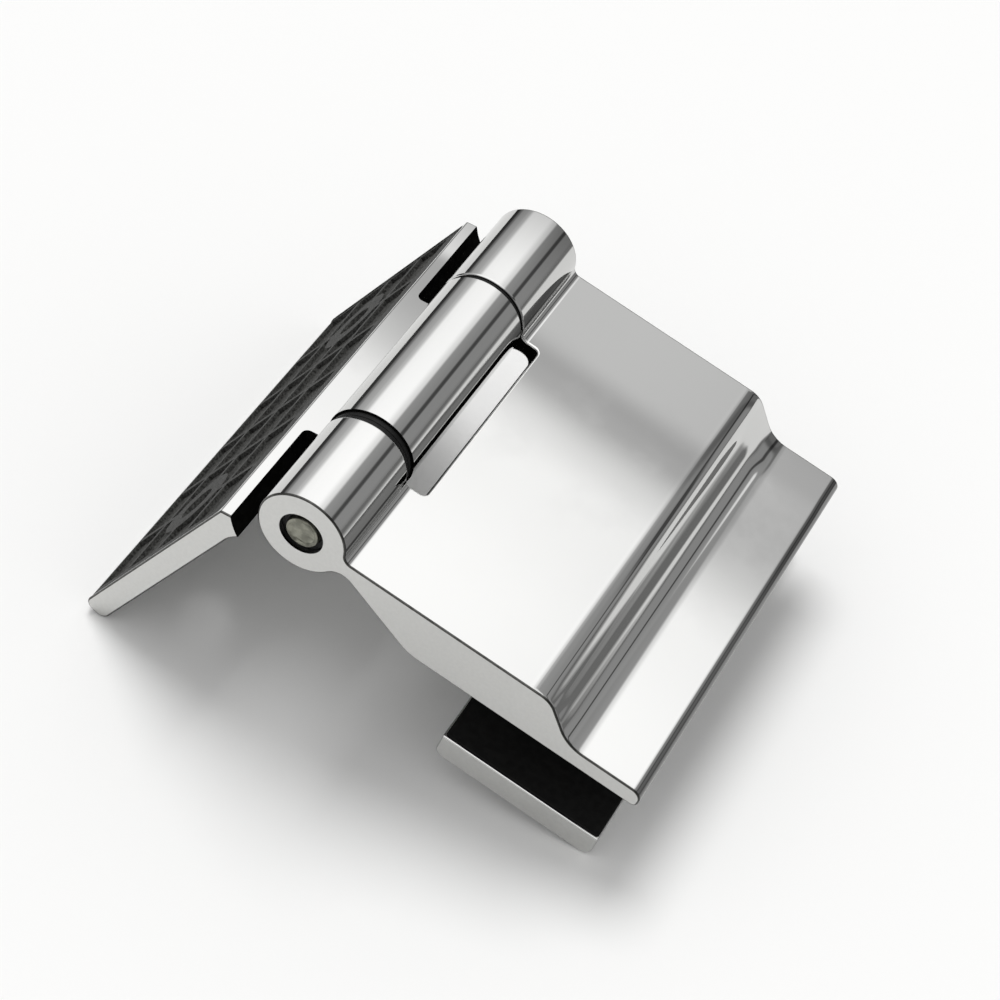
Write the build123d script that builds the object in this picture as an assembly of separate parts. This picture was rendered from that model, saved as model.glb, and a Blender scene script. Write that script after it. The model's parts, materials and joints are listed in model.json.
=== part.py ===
from build123d import *
import math
import os

# Shower door hinge for a glass door, 8 to 10 mm thick, shown standing like a tent.
# The hinge axis runs along Y. Each leaf is drawn lying along +X with its fixing
# face downwards, on the axis at the origin, and is then turned into place about Y.

# Knuckles, and the length of the hinge along its axis
knuckle_r = 8.0
hinge_length = 82.0
middle_knuckle_length = 38.0
fixing_face_drop = 10.6
edge_break = 0.3

# Pin, bushes and the thrust washer
pin_d = 6.0
pin_inset = 0.1
pin_chamfer = 0.5
bush_d = 8.0
bush_inset = 1.1
flange_t = 1.0
flange_r = 7.6
washer_t = 1.0
running_gap = 0.05
seat_gap = 0.01

# Grub screw that locks the pin in the middle knuckle
grub_d = 4.0
grub_length = 4.6
grub_key = 2.0
grub_key_depth = 2.0
grub_angle = 30.0
pin_flat_depth = 0.5
pin_flat_length = 7.0

# Door leaf: a drawn section with a thin neck, a thick body and a stepped-down lip
leaf_reach = 67.8
leaf_top = 0.0
lip_t = 3.6
lip_top_r = 2.0
lip_bottom_r = 1.0
step_start = 47.5
step_angle = 50.0
shoulder_r = 4.0
hollow_r = 6.5
neck_top_r = 1.6
neck_under_r = 3.0
under_slope = 28.0
under_foot = 23.9
under_foot_r = 8.0
slot_r = 12.0
slot_corner_r = 1.2

# Fixed leaf: a flat plate, offset to one side of the axis, with a web to its knuckle
plate_reach = 55.0
plate_overhang = 1.2
plate_t = 4.5
plate_edge = 9.5
plate_corner_r = 1.6
plate_foot_r = 2.0
flank_angle = 60.0
flank_fillet_r = 1.0
web_fillet_r = 6.0
notch_r = 12.4
notch_corner_r = 1.2

# Rubber pad let into the fixed leaf: a grid of pockets with a ring round each hole
pad_rim = 0.4
pad_edge_inset = 0.4
pad_t = 1.2
pad_below_face = 0.3
pad_inner_border = 5.45
pad_outer_border = 0.85
pad_front_border = 3.15
pad_rear_border = 0.45
pad_rib = 1.3
pad_rows = 4
pad_columns = 6
pocket_depth = 0.8
ring_d = 14.5
pad_hole_d = 7.0

# Wall screw holes in the fixed leaf, countersunk on the face away from the pad
wall_hole_d = 5.5
wall_sink_d = 9.5

# Glass clamp under the outer half of the door leaf
clamp_inner = 35.6
clamp_width = 30.6
clamp_t = 5.3
clamp_gap = 13.0
clamp_corner_r = 1.8
clamp_rim = 0.45
clamp_pocket_depth = 1.2
clamp_pocket_corner_r = 0.6
clamp_gasket_proud = 0.3
leaf_gasket_t = 2.0
leaf_gasket_seat = 0.5
gasket_inset = 1.4
gasket_corner_r = 2.0

# Clamp screws and the sleeves that keep them off the glass
screw_d = 5.0
screw_head_d = 10.0
screw_length = 22.0
screw_key = 3.0
screw_key_depth = 1.9
screw_from_axis = 45.0
screw_from_end = 14.0
thread_depth = 8.0
thread_gap = 0.05
head_gap = 0.05
screw_hole_d = 5.5
sleeve_d = 8.0
sleeve_hole_d = 5.5
sleeve_length = 9.0
gasket_hole_gap = 0.1

# How far the leaves stand open in the rest pose
rest_opening = 110.0

# Values that follow from the sizes above
plate_length = hinge_length + 2 * plate_overhang
clamp_length = hinge_length
fixing_face = -fixing_face_drop
plate_inner_face = fixing_face + plate_t
clamp_top = fixing_face - clamp_gap
clamp_bottom = clamp_top - clamp_t
clamp_outer = clamp_inner + clamp_width
rear_gap = flange_t + running_gap
front_gap = flange_t + washer_t + 2 * running_gap
knuckle_space = middle_knuckle_length + front_gap + rear_gap
outer_face_y = knuckle_space / 2
middle_front_y = front_gap - outer_face_y
middle_rear_y = outer_face_y - rear_gap
end_y = hinge_length / 2
far = 4 * (leaf_reach + hinge_length)


def spot(x, z):
    """Point of a section, which lies in the XZ plane."""
    return Vector(x, 0, z)


def heading(angle):
    """Unit vector in the XZ plane, with the angle counted from +X towards +Z."""
    return spot(math.cos(math.radians(angle)), math.sin(math.radians(angle)))


def arc_about(centre, start, end, long_way=False):
    """Arc round a centre, the short way from start to end unless told otherwise."""
    radius = (start - centre).length
    half = ((start - centre) + (end - centre)).normalized()
    if long_way:
        half = half * -1
    return ThreePointArc(start, centre + half * radius, end)


def blend_to_knuckle(line_point, along, outwards, radius):
    """Concave arc from the knuckle to a straight line: centre and both touch points."""
    offset = line_point + outwards * radius
    reach = knuckle_r + radius
    shift = offset.dot(along)
    step = math.sqrt(reach ** 2 - offset.length ** 2 + shift ** 2) - shift
    centre = offset + along * step
    return centre, centre * (knuckle_r / reach), centre - outwards * radius


def draw_out(outline, start_y, end_y_):
    """Solid of a closed section, drawn out along Y."""
    face = make_face(outline)
    return Pos(0, start_y, 0) * extrude(face, amount=end_y_ - start_y, dir=(0, 1, 0))


def rod(radius, start_y, end_y_):
    """Round bar on the hinge axis."""
    bar = Cylinder(radius, end_y_ - start_y, align=(Align.CENTER, Align.CENTER, Align.MIN))
    return Pos(0, start_y, 0) * Rot(-90, 0, 0) * bar


def upright(radius, height, x, y, low_z):
    """Round bar that stands along Z."""
    bar = Cylinder(radius, height, align=(Align.CENTER, Align.CENTER, Align.MIN))
    return Pos(x, y, low_z) * bar


def block(low, high):
    """Box between two corners."""
    size = [b - a for a, b in zip(low, high)]
    return Pos(*low) * Box(*size, align=(Align.MIN, Align.MIN, Align.MIN))


def slab(x_low, x_high, length, low_z, height, corner_r):
    """Flat piece with round corners in plan, centred along Y."""
    plan = RectangleRounded(x_high - x_low, length, corner_r)
    return Pos((x_low + x_high) / 2, 0, low_z) * extrude(plan, amount=height)


def clearance_cutter(radius, start_y, end_y_, corner_r, round_start, round_end):
    """Round cutter on the hinge axis with rounded ends, for the room round a knuckle."""
    cutter = rod(radius, start_y, end_y_)
    ends = []
    if round_start:
        ends += cutter.edges().filter_by(GeomType.CIRCLE).sort_by(Axis.Y)[:1]
    if round_end:
        ends += cutter.edges().filter_by(GeomType.CIRCLE).sort_by(Axis.Y)[-1:]
    return fillet(ends, corner_r)


def break_end_edges(solid):
    """Small chamfer round both end faces of a drawn section."""
    ends = solid.faces().sort_by(Axis.Y)
    edges = ends[0].edges() + ends[-1].edges()
    return chamfer(edges, edge_break)


def door_leaf_section():
    """Section of the door leaf: knuckle, neck, body, ogee step and lip."""
    top_centre, top_on_knuckle, top_on_leaf = blend_to_knuckle(
        spot(0, leaf_top), heading(0), heading(90), neck_top_r
    )
    foot = spot(under_foot, fixing_face)
    low_centre, low_on_knuckle, low_on_leaf = blend_to_knuckle(
        foot, heading(-under_slope), heading(-under_slope - 90), neck_under_r
    )
    lip_top = fixing_face + lip_t
    step_run = (leaf_top - lip_top) / math.tan(math.radians(step_angle))
    body = FilletPolyline(
        low_on_leaf,
        foot,
        spot(leaf_reach, fixing_face),
        spot(leaf_reach, lip_top),
        spot(step_start + step_run, lip_top),
        spot(step_start, leaf_top),
        top_on_leaf,
        radius=[under_foot_r, lip_bottom_r, lip_top_r, hollow_r, shoulder_r],
    )
    return [
        *body.edges(),
        arc_about(top_centre, top_on_leaf, top_on_knuckle),
        arc_about(Vector(0, 0, 0), top_on_knuckle, low_on_knuckle, long_way=True),
        arc_about(low_centre, low_on_knuckle, low_on_leaf),
    ]


def make_door_leaf():
    """Door leaf, with its two outer knuckles and the slot for the middle one."""
    leaf = break_end_edges(draw_out(door_leaf_section(), -end_y, end_y))
    leaf -= clearance_cutter(slot_r, -outer_face_y, outer_face_y, slot_corner_r, True, True)
    leaf -= rod(bush_d / 2 + seat_gap, -end_y, end_y)
    leaf -= slab(
        clamp_inner + gasket_inset,
        clamp_outer - gasket_inset,
        clamp_length - 2 * gasket_inset,
        fixing_face,
        leaf_gasket_seat,
        gasket_corner_r,
    )
    for y in screw_places():
        leaf -= upright(screw_d / 2 + thread_gap, thread_depth, screw_from_axis, y, fixing_face)
    return leaf


def screw_places():
    """Places of the two clamp screws along Y, front first."""
    reach = clamp_length / 2 - screw_from_end
    return [-reach, reach]


def fixed_leaf_section():
    """Section of the fixed leaf: knuckle, web with a slanted flank, and plate."""
    corner = spot(plate_edge, fixing_face)
    down_flank = heading(-flank_angle)
    flank_side = heading(-flank_angle - 90)
    flank_centre, flank_on_knuckle, flank_on_line = blend_to_knuckle(
        corner, down_flank, flank_side, flank_fillet_r
    )
    web_centre, web_on_knuckle, web_on_plate = blend_to_knuckle(
        spot(0, plate_inner_face), heading(0), heading(90), web_fillet_r
    )
    plate = FilletPolyline(
        corner,
        spot(plate_reach, fixing_face),
        spot(plate_reach, plate_inner_face),
        web_on_plate,
        radius=[plate_corner_r, plate_foot_r],
    )
    return [
        Line(flank_on_line, corner),
        *plate.edges(),
        arc_about(web_centre, web_on_plate, web_on_knuckle),
        arc_about(Vector(0, 0, 0), web_on_knuckle, flank_on_knuckle, long_way=True),
        arc_about(flank_centre, flank_on_knuckle, flank_on_line),
    ]


def pad_span():
    """Inner and outer edges of the pad's recess along X, and its length along Y."""
    return plate_edge + pad_edge_inset, plate_reach - pad_rim, plate_length - 2 * pad_rim


def pad_pitches():
    """Distance from pocket to pocket along X, and along Y."""
    inner, outer, length = pad_span()
    row = (outer - inner - pad_inner_border - pad_outer_border + pad_rib) / pad_rows
    column = (length - pad_front_border - pad_rear_border + pad_rib) / pad_columns
    return row, column


def rib_x(number):
    """Middle of the rib before a row of pockets."""
    return pad_span()[0] + pad_inner_border - pad_rib / 2 + number * pad_pitches()[0]


def rib_y(number):
    """Middle of the rib before a column of pockets."""
    front = -pad_span()[2] / 2
    return front + pad_front_border - pad_rib / 2 + number * pad_pitches()[1]


def wall_hole_x():
    """Distance of the wall screw holes from the axis: the pad's middle rib."""
    return rib_x(pad_rows // 2)


def wall_hole_places():
    """Places of the two wall screw holes along Y: the first and last ribs between columns."""
    return [rib_y(1), rib_y(pad_columns - 1)]


def make_fixed_leaf():
    """Fixed leaf, with the middle knuckle, the notches beside it and the pad's recess."""
    half = plate_length / 2
    leaf = break_end_edges(draw_out(fixed_leaf_section(), -half, half))
    leaf -= clearance_cutter(notch_r, -far, middle_front_y, notch_corner_r, False, True)
    leaf -= clearance_cutter(notch_r, middle_rear_y, far, notch_corner_r, True, False)
    leaf -= rod(pin_d / 2 + seat_gap, middle_front_y, middle_rear_y)
    inner, outer, length = pad_span()
    leaf -= slab(inner, outer, length, fixing_face, pad_below_face + pad_t, plate_corner_r)
    for y in wall_hole_places():
        leaf -= upright(wall_hole_d / 2, plate_t, wall_hole_x(), y, fixing_face)
        leaf -= wall_sink(y)
    leaf -= grub_hole()
    return leaf


def wall_sink(y):
    """Countersink of a wall screw hole, on the face away from the pad."""
    depth = (wall_sink_d - wall_hole_d) / 2
    cone = Cone(
        wall_hole_d / 2, wall_sink_d / 2, depth, align=(Align.CENTER, Align.CENTER, Align.MAX)
    )
    return Pos(wall_hole_x(), y, plate_inner_face) * cone


def grub_place():
    """Frame of the grub screw, with its Z axis pointing out of the middle knuckle."""
    middle = (middle_front_y + middle_rear_y) / 2
    return Pos(0, middle, 0) * Rot(0, grub_angle, 0)


def grub_hole():
    """Threaded hole from the outside of the middle knuckle to its bore."""
    bar = Cylinder(
        grub_d / 2 + seat_gap, knuckle_r, align=(Align.CENTER, Align.CENTER, Align.MIN)
    )
    return grub_place() * bar


def hex_socket(across_flats, depth):
    """Hexagonal key socket, cut downwards from Z = 0."""
    plan = RegularPolygon(across_flats / 2, 6, major_radius=False)
    return extrude(plan, amount=-depth)


def make_grub_screw():
    """Grub screw whose tip bears on the flat of the pin."""
    low = pin_d / 2 - pin_flat_depth
    body = Cylinder(grub_d / 2, grub_length, align=(Align.CENTER, Align.CENTER, Align.MIN))
    body = chamfer(body.edges().filter_by(GeomType.CIRCLE), edge_break)
    body -= Pos(0, 0, grub_length) * hex_socket(grub_key, grub_key_depth)
    return grub_place() * Pos(0, 0, low) * body


def make_pin():
    """Hinge pin, with a flat for the grub screw at its middle."""
    pin = rod(pin_d / 2, -end_y + pin_inset, end_y - pin_inset)
    pin = chamfer(pin.edges().filter_by(GeomType.CIRCLE), pin_chamfer)
    low = pin_d / 2 - pin_flat_depth
    half = pin_flat_length / 2
    flat = block((-pin_d, -half, low), (pin_d, half, pin_d))
    return pin - grub_place() * flat


def make_bush(front):
    """Flanged bush of an outer knuckle, its flange towards the middle knuckle."""
    sleeve = rod(bush_d / 2, -end_y + bush_inset, -outer_face_y)
    flange = rod(flange_r, -outer_face_y, -outer_face_y + flange_t)
    bush = sleeve + flange - rod(pin_d / 2 + running_gap, -end_y, 0)
    if front:
        return bush
    return bush.mirror(Plane.XZ)


def make_thrust_washer():
    """Washer between the front bush and the middle knuckle."""
    start = -outer_face_y + flange_t + seat_gap
    washer = rod(flange_r, start, start + washer_t)
    return washer - rod(pin_d / 2 + running_gap, start, start + washer_t)


def make_wall_pad():
    """Pad of the fixed leaf: a grid of pockets, with a flat ring round each screw hole."""
    inner, outer, length = pad_span()
    top = fixing_face + pad_below_face
    pad = slab(
        inner + seat_gap, outer - seat_gap, length - 2 * seat_gap, top, pad_t, plate_corner_r
    )
    row_pitch, column_pitch = pad_pitches()
    pocket = extrude(Rectangle(row_pitch - pad_rib, column_pitch - pad_rib), amount=pocket_depth)
    rings = [
        upright(ring_d / 2, pad_t, wall_hole_x(), y, top) for y in wall_hole_places()
    ]
    for row in range(pad_rows):
        x = rib_x(row) + row_pitch / 2
        for column in range(pad_columns):
            y = rib_y(column) + column_pitch / 2
            pad -= Pos(x, y, top) * pocket - rings
    for y in wall_hole_places():
        pad -= upright(pad_hole_d / 2, pad_t, wall_hole_x(), y, top)
    return pad


def make_clamp_plate():
    """Clamp plate: a shallow tray with rounded lower edges and two countersunk holes."""
    tray = FilletPolyline(
        spot(clamp_inner, clamp_top),
        spot(clamp_inner, clamp_bottom),
        spot(clamp_outer, clamp_bottom),
        spot(clamp_outer, clamp_top),
        radius=[clamp_corner_r, clamp_corner_r],
    )
    lid = Line(spot(clamp_outer, clamp_top), spot(clamp_inner, clamp_top))
    plate = draw_out([*tray.edges(), lid], -clamp_length / 2, clamp_length / 2)
    plate = break_end_edges(plate)
    plate -= clamp_pocket(0)
    for y in screw_places():
        plate -= upright(screw_hole_d / 2, clamp_t, screw_from_axis, y, clamp_bottom)
        plate -= Pos(screw_from_axis, y, clamp_bottom) * head_cone(head_gap)
    return plate


def clamp_pocket(inset):
    """Room for the gasket in the clamp plate, or a smaller one by an inset all round."""
    side = clamp_rim + inset
    return slab(
        clamp_inner + side,
        clamp_outer - side,
        clamp_length - 2 * side,
        clamp_top - clamp_pocket_depth,
        clamp_pocket_depth + clamp_gasket_proud,
        clamp_pocket_corner_r,
    )


def head_cone(gap):
    """Cone of a countersunk head, its wide end at Z = 0."""
    wide = screw_head_d / 2 + gap
    narrow = screw_d / 2
    return Cone(wide, narrow, wide - narrow, align=(Align.CENTER, Align.CENTER, Align.MIN))


def make_clamp_gasket():
    """Flat gasket in the clamp plate, a little proud of its rim."""
    gasket = clamp_pocket(seat_gap)
    low = clamp_top - clamp_pocket_depth
    for y in screw_places():
        gasket -= upright(screw_hole_d / 2, clamp_t, screw_from_axis, y, low)
    return gasket


def make_leaf_gasket():
    """Flat gasket under the door leaf, let into its underside."""
    side = gasket_inset + seat_gap
    low = fixing_face + leaf_gasket_seat - leaf_gasket_t
    gasket = slab(
        clamp_inner + side,
        clamp_outer - side,
        clamp_length - 2 * side,
        low,
        leaf_gasket_t,
        gasket_corner_r,
    )
    for y in screw_places():
        gasket -= upright(
            sleeve_d / 2 + gasket_hole_gap, leaf_gasket_t, screw_from_axis, y, low
        )
    return gasket


def make_clamp_screw(y):
    """Countersunk socket screw of the clamp, standing upright in the clamp plate."""
    shank = upright(screw_d / 2, screw_length, 0, 0, 0)
    shank = chamfer(shank.edges().filter_by(GeomType.CIRCLE).sort_by(Axis.Z)[-1:], edge_break)
    screw = shank + head_cone(0)
    screw -= Rot(180, 0, 0) * hex_socket(screw_key, screw_key_depth)
    return Pos(screw_from_axis, y, clamp_bottom) * screw


def make_sleeve(y):
    """Sleeve round a clamp screw, standing on the underside of the door leaf."""
    top = fixing_face + leaf_gasket_seat
    sleeve = upright(sleeve_d / 2, sleeve_length, screw_from_axis, y, top - sleeve_length)
    return sleeve - upright(
        sleeve_hole_d / 2, sleeve_length, screw_from_axis, y, top - sleeve_length
    )


def floor_tilt():
    """Slope of the floor under both feet, seen from the door leaf lying along X."""
    plate_foot = Vector(plate_reach - plate_foot_r, 0, plate_inner_face - plate_foot_r)
    plate_foot = plate_foot.rotate(Axis.Y, rest_opening)
    clamp_foot = spot(clamp_outer - clamp_corner_r, clamp_bottom + clamp_corner_r)
    across = clamp_foot - plate_foot
    rise = math.atan2(across.Z, across.X)
    return math.degrees(rise + math.asin((plate_foot_r - clamp_corner_r) / across.length))


front_y, rear_y = screw_places()
door_parts = {
    "door_leaf": make_door_leaf(),
    "front_bush": make_bush(True),
    "rear_bush": make_bush(False),
    "thrust_washer": make_thrust_washer(),
    "leaf_gasket": make_leaf_gasket(),
    "glass_sleeve_front": make_sleeve(front_y),
    "glass_sleeve_rear": make_sleeve(rear_y),
    "clamp_plate": make_clamp_plate(),
    "clamp_gasket": make_clamp_gasket(),
    "clamp_screw_front": make_clamp_screw(front_y),
    "clamp_screw_rear": make_clamp_screw(rear_y),
}
fixed_parts = {
    "fixed_leaf": make_fixed_leaf(),
    "wall_pad": make_wall_pad(),
    "hinge_pin": make_pin(),
    "pin_grub_screw": make_grub_screw(),
}

# Stand the leaves open on the floor, with the origin under the middle of the whole hinge
tilt = floor_tilt()
standing = {name: Rot(0, tilt, 0) * part for name, part in door_parts.items()}
for name, part in fixed_parts.items():
    standing[name] = Rot(0, tilt + rest_opening, 0) * part
box = Compound(children=[Compound(part.solids()) for part in standing.values()]).bounding_box()
to_origin = Pos(-(box.min.X + box.max.X) / 2, -(box.min.Y + box.max.Y) / 2, -box.min.Z)

os.makedirs("parts", exist_ok=True)
for name, part in standing.items():
    export_step(to_origin * part, f"parts/{name}.step")
print("tilt", round(tilt, 3), "axis at", round(to_origin.position.X, 3), round(to_origin.position.Z, 3))
print("size", [round(v, 2) for v in box.size])
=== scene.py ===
import json
import math

import bmesh
import bpy
from bpy.props import FloatProperty, FloatVectorProperty, IntProperty, PointerProperty
from mathutils import Matrix, Vector, noise


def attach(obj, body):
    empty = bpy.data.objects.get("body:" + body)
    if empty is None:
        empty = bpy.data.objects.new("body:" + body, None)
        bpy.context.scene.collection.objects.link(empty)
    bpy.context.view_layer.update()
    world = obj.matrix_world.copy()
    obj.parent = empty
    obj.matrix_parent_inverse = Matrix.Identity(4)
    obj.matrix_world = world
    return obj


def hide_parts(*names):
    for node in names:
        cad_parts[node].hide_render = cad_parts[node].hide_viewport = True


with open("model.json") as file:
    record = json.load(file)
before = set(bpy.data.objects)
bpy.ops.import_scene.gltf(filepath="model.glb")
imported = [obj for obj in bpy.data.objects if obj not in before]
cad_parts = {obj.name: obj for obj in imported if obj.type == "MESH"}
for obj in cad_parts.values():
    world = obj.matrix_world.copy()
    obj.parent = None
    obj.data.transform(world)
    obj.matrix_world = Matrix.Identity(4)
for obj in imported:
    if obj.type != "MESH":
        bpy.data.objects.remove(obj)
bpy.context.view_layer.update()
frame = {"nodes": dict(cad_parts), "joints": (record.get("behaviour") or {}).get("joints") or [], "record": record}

bl_info = {
    "name": "Shower Door Hinge",
    "version": (1, 0, 0),
    "blender": (4, 5, 0),
    "location": "View3D > Sidebar > Hinge",
    "description": "Builds a polished glass door hinge on its packed frame, with its studio",
    "category": "Add Mesh",
}

# Places of the two leaves, as the packed joints and mounts give them. In a leaf's own
# frame the hinge axis is Y through the origin, and the fixing face looks down.
JOINTS = {joint["name"]: joint for joint in frame["joints"]}
MOUNTS = {mount["name"]: mount for mount in frame["record"]["mounts"]}
AXIS_POINT = Vector(JOINTS["door_swing"]["pos_m"])
DOOR_UP = Vector(JOINTS["clamp_travel"]["axis"])
WALL_OUT = Vector(MOUNTS["wall_face"]["axis"])
DOOR_TURN = math.atan2(DOOR_UP.x, DOOR_UP.z)
FIXED_TURN = math.atan2(-WALL_OUT.x, -WALL_OUT.z)
DOOR_PLACE = Matrix.Translation(AXIS_POINT) @ Matrix.Rotation(DOOR_TURN, 4, "Y")
FIXED_PLACE = Matrix.Translation(AXIS_POINT) @ Matrix.Rotation(FIXED_TURN, 4, "Y")

# Angles: one step of an arc, and from where an edge counts as hard or is shaded sharp.
ARC_STEP = math.radians(3.5)
HARD_ANGLE = math.radians(35)
SHARP_ANGLE = math.radians(32)

# Small lengths: how far a cutter reaches past a face, the play of a loose and of a close
# fit, the tolerance of tests on a vertex, and the distance at which vertices merge.
PAST = 1e-3
LOOSE = 5e-5
CLOSE = 1e-5
NEAR = 1e-6
MERGE = 1e-7

# Depth of the screws' threads as a share of the pitch.
THREAD_DEPTH = 0.55

# Rounding of the smaller pieces' edges.
TURNED_EDGE = 1.5e-4
SLEEVE_EDGE = 2e-4
RUBBER_EDGE = 2e-4
PAD_EDGE = 1.4e-4
TRAY_EDGE = 1.2e-4
PIN_EDGE = 5e-4
# The pin's sawn ends: widths of the rings in which they are divided, the margin that stays
# smooth, and the roughness's fineness, depth and slope.
SAWN_RINGS = (0.0003, 0.0005, 0.0005, 0.0005)
SAWN_MARGIN = 0.0006
SAWN_GRAIN = 900
SAWN_DEPTH = 0.00016
SAWN_SLOPE = 0.04
# How deep the painted highlight on a rim and the painted shade on a wall reach in from a cut-out's
# radius, how far a shaded wall may slant to its side, and how much of the middle knuckle counts as its end face.
RIM_HIGHLIGHT_BAND = 0.0034
WALL_SHADE_BAND = 0.0013
WALL_SHADE_SLANT = 0.12
KNUCKLE_END = 0.0002

# Waviness that hand polishing left across the door leaf's step: places along the leaf in
# millimetres from the axis, and how many degrees the surface turns down there. The waves
# drift outwards towards the rear, and they are a little stronger than the list says.
STEP_START = 0.0436
STEP_END = 0.0566
STEP_SWELL = (
    (44.3, 0), (44.75, 6.6), (45.25, 8.4), (45.7, 10.4), (46.2, 12.8), (46.5, 9.8),
    (46.75, 10.1), (47.15, 18.6), (47.6, 18.4), (48.1, 14.8), (48.6, 1), (48.9, -5.1),
    (49.6, -6.3), (50.6, -8.6), (51.15, -2.1), (51.45, -4.6), (51.7, -5.4), (52.1, -7.5),
    (52.8, -5.5), (53.4, -10), (54.0, -13), (54.4, -5), (55.5, -2), (56.4, -2.5),
)
STEP_DRIFT = -0.0125
SWELL_GAIN = 1.1
# Where the door leaf's polish starts and stops leaning towards its ends.
LEAF_END = (0.0355, 0.0415)
# Painted shade: tone of the plating over the rounding of the lip's outer edge, from below to above.
LIP_SHADE_TONES = (
    (0.0, 1.0), (0.12, 0.9), (0.32, 0.4), (0.5, 0.22), (0.65, 0.33), (0.86, 0.45),
    (0.96, 0.8), (1.0, 1.0),
)

# What polished faces mirror: brightness round the hinge axis, by degrees from the right
# over the top, and its fall towards the ends of the axis. Other rays see a plain grey.
STUDIO_BANDS = (
    (-10, 0.15), (0, 0.33), (8, 0.38), (27, 0.38), (31, 0.09), (36, 0.09), (41, 0.38),
    (60, 0.44), (67, 1.22), (84, 1.66), (112, 1.62), (127, 1.56), (139, 0.80),
    (148, 0.62), (158, 0.54), (165, 0.26), (172, 0.05), (190, 0.04),
)
STUDIO_DEPTH = (
    (0.0, 1.0), (0.62, 1.0), (0.69, 0.93), (0.728, 0.40), (0.742, 0.37), (0.768, 0.52),
    (1.0, 0.55),
)
STUDIO_GREY = (0.625, 0.625, 0.623, 1)
# Painted shade in reflections: way in which the floor that polished faces mirror darkens, and its tone by distance
# that way in metres.
FADE_WAY = (1.0, -0.55, 0.0)
FLOOR_REFLECTION_SHADE = ((0.085, 1.0), (0.105, 0.62), (0.13, 0.36), (0.2, 0.2))
FLOOR_REACH = 4
# Where the sun stands, its width in degrees and its strength.
SUN_FROM = (-0.27, 0.41, 1.0)
SUN_SPREAD = 32
SUN_STRENGTH = 1.64
# The camera, as fitted to the photo's edges: its place, its axes to the right and
# backwards, and its sensor and lens in millimetres.
CAMERA_PLACE = (0.11718, -0.3161, 0.38012)
CAMERA_RIGHT = (0.87846, 0.4601, 0.12887)
CAMERA_BACK = (0.23124, -0.6455, 0.72786)
CAMERA_SENSOR = 36
CAMERA_LENS = 103.43


def length(label, text, value):
    """Length property in metres, with its default given in millimetres."""
    return FloatProperty(
        name=label, description=text, default=value / 1000, min=0, unit="LENGTH", precision=5
    )


def angle(label, text, value):
    """Angle property, with its default given in degrees."""
    return FloatProperty(
        name=label, description=text, default=math.radians(value), unit="ROTATION"
    )


def tint(label, text, value):
    """Colour property."""
    return FloatVectorProperty(
        name=label, description=text, default=value, size=3, subtype="COLOR", min=0, max=1
    )


class HingeSizes(bpy.types.PropertyGroup):
    """Sizes that both leaves share."""

    knuckle: length("Knuckle radius", "Radius of all three knuckles", 8)
    along: length("Hinge length", "Length of the door leaf along the hinge axis", 82)
    middle: length("Middle knuckle", "Length of the fixed leaf's knuckle", 38)
    front_gap: length("Front gap", "Room for the front flange and the washer", 2.1)
    rear_gap: length("Rear gap", "Room for the rear flange", 1.05)
    drop: length("Fixing face drop", "Distance of the fixing faces from the axis", 10.6)
    soft_edge: length("Edge break", "Width of the small bevel on machined edges", 0.3)
    bush: length("Bush radius", "Outer radius of the bushes", 4)
    pin: length("Pin radius", "Radius of the hinge pin", 3)
    pin_inset: length("Pin inset", "Depth of the pin's ends in the knuckles", 0.1)
    bush_inset: length("Bush inset", "Depth of the bushes' ends in the knuckles", 1.1)
    flange: length("Flange radius", "Radius of the bush flanges and the washer", 7.6)
    flange_t: length("Flange thickness", "Thickness of the flanges and the washer", 1)


class DoorLeafSizes(bpy.types.PropertyGroup):
    """Sizes of the door leaf's section and slot."""

    reach: length("Reach", "Distance from the axis to the lip's edge", 67.8)
    lip: length("Lip thickness", "Thickness of the stepped-down lip", 3.6)
    lip_top: length("Lip top radius", "Rounding of the lip's upper edge", 2)
    lip_bottom: length("Lip bottom radius", "Rounding of the lip's lower edge", 1)
    step: length("Step start", "Distance from the axis to the step's crest", 47.5)
    step_angle: angle("Step angle", "Slope of the step", 50)
    shoulder: length("Shoulder radius", "Rounding at the top of the step", 4)
    hollow: length("Hollow radius", "Rounding at the foot of the step", 6.5)
    neck_top: length("Upper neck radius", "Blend from the knuckle to the top", 1.6)
    neck_under: length("Lower neck radius", "Blend from the knuckle to the underside", 3)
    under_slope: angle("Underside slope", "Slope of the neck's underside", 28)
    under_foot: length("Underside foot", "Distance from the axis to the slope's foot", 23.9)
    under_foot_r: length("Foot radius", "Rounding at the slope's foot", 8)
    slot: length("Slot radius", "Radius of the room round the middle knuckle", 12)
    slot_corner: length("Slot corner radius", "Rounding of the slot's corners", 1.2)
    slot_rim: length("Slot rim", "Width of the soft rim round the slot", 0.35)


class FixedLeafSizes(bpy.types.PropertyGroup):
    """Sizes of the fixed leaf and of the holes for its wall screws."""

    reach: length("Reach", "Distance from the axis to the plate's edge", 55)
    overhang: length("Overhang", "How far the plate stands out past each end", 1.2)
    plate: length("Plate thickness", "Thickness of the plate", 4.5)
    start: length("Plate start", "Distance from the axis to the plate's inner edge", 9.5)
    corner: length("Outer corner radius", "Rounding beside the pad", 1.6)
    foot: length("Foot radius", "Rounding of the edge on the floor", 2)
    flank_angle: angle("Flank angle", "Slope of the face beside the knuckle", 60)
    flank_r: length("Flank radius", "Blend from the flank to the knuckle", 1)
    web_r: length("Web radius", "Blend from the knuckle to the inner face", 6)
    notch: length("Notch radius", "Radius of the room round the outer knuckles", 12.4)
    notch_corner: length("Notch corner radius", "Rounding of the notches' corners", 1.2)
    hole: length("Screw hole radius", "Radius of the wall screw holes", 2.75)
    sink: length("Countersink radius", "Radius of the countersinks", 4.75)


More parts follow.
